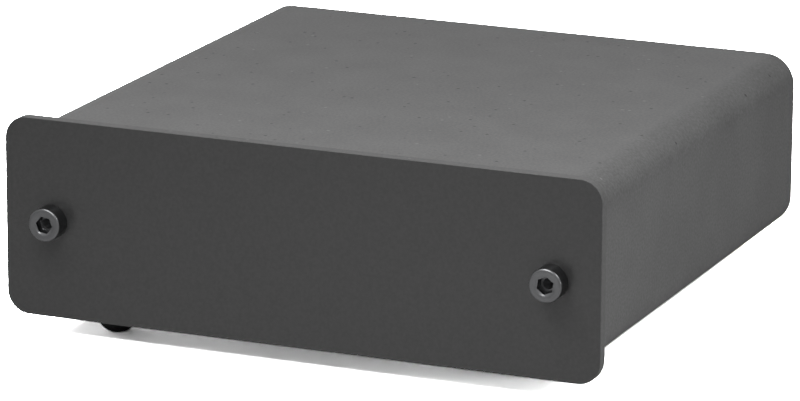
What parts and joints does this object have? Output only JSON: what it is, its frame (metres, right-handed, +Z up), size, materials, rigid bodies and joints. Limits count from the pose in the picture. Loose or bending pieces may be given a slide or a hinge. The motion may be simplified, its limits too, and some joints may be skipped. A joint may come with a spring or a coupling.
{
  "type": "phono preamp",
  "caption": "Compact phono preamplifier: painted metal sleeve, flat end plates, rubber feet, rear signal sockets, power inlet, ground post and cartridge selector.",
  "frame": {"origin": "under the middle of the whole object, on the surface that the feet stand on", "axes": "+X to the right as seen from the front, +Y from the front panel to the rear sockets, +Z up"},
  "size_m": [0.103, 0.1134, 0.038],
  "materials": {
    "case_paint": "fine pebbled satin paint on metal, dark grey",
    "black_steel": "black oxide",
    "foot_rubber": "matte black",
    "board_laminate": "green solder mask on glass-fibre laminate",
    "black_plastic": "moulded, satin",
    "bright_steel": "bright plated",
    "gilt_brass": "gold-plated",
    "white_plastic": "moulded",
    "red_plastic": "moulded",
    "wire_jacket": "insulated stranded wire",
    "switch_plastic": "moulded",
    "capacitor_sleeve": "shrink sleeve",
    "capacitor_blue": "shrink sleeve",
    "film_case": "moulded case",
    "ceramic": "fired ceramic"
  },
  "bodies": {
    "case": {"case_sleeve": "case_paint", "front_panel": "case_paint", "rear_panel": "case_paint", "front_screws": "black_steel", "rear_screws": "black_steel", "foot_front_left": "foot_rubber", "foot_front_right": "foot_rubber", "foot_rear_left": "foot_rubber", "foot_rear_right": "foot_rubber", "main_pcb": "board_laminate", "input_socket_block": "black_plastic", "output_socket_block": "black_plastic", "block_screws": "bright_steel", "input_left_barrel": "gilt_brass", "input_right_barrel": "gilt_brass", "output_left_barrel": "gilt_brass", "output_right_barrel": "gilt_brass", "input_left_insulator": "white_plastic", "input_right_insulator": "red_plastic", "output_left_insulator": "white_plastic", "output_right_insulator": "red_plastic", "input_left_contact": "gilt_brass", "input_right_contact": "gilt_brass", "output_left_contact": "gilt_brass", "output_right_contact": "gilt_brass", "power_inlet_housing": "black_plastic", "power_inlet_pin": "bright_steel", "power_inlet_spring": "bright_steel", "ground_post": "gilt_brass", "ground_lock_washer": "bright_steel", "ground_solder_tag": "bright_steel", "ground_inner_nut": "bright_steel", "ground_wire": "wire_jacket", "selector_housing": "switch_plastic", "selector_terminals": "bright_steel", "selector_spring": "bright_steel", "op_amps": "black_plastic", "voltage_regulator": "black_plastic", "supply_capacitors": "capacitor_sleeve", "coupling_capacitors": "capacitor_blue", "film_capacitors": "film_case", "chip_resistors": "black_plastic", "chip_capacitors": "ceramic", "protection_diode": "black_plastic"},
    "selector_push": {"selector_plunger": "black_plastic", "selector_button": "black_plastic"},
    "captive_washer": {"ground_washer": "gilt_brass"},
    "thumb_nut": {"ground_thumb_nut": "gilt_brass"}
  },
  "joints": [
    {"name": "selector_press", "type": "slide", "parent": "case", "child": "selector_push", "axis": [0, -1, 0], "range_m": [0, 0.0025], "stiffness_N_per_m": 1000, "springref_m": -0.001, "deforming": ["selector_spring"]},
    {"name": "ground_nut_travel", "type": "slide", "parent": "case", "child": "captive_washer", "axis": [0, 1, 0], "range_m": [0, 0.003]},
    {"name": "ground_nut_turn", "type": "hinge", "parent": "captive_washer", "child": "thumb_nut", "pos_m": [0.0035, 0.0505, 0.02825], "axis": [0, 1, 0], "range_deg": [0, 1542.86]}
  ],
  "couplings": [
    {"joint": "ground_nut_turn", "follows": "ground_nut_travel", "rad_per_m": 8976}
  ]
}
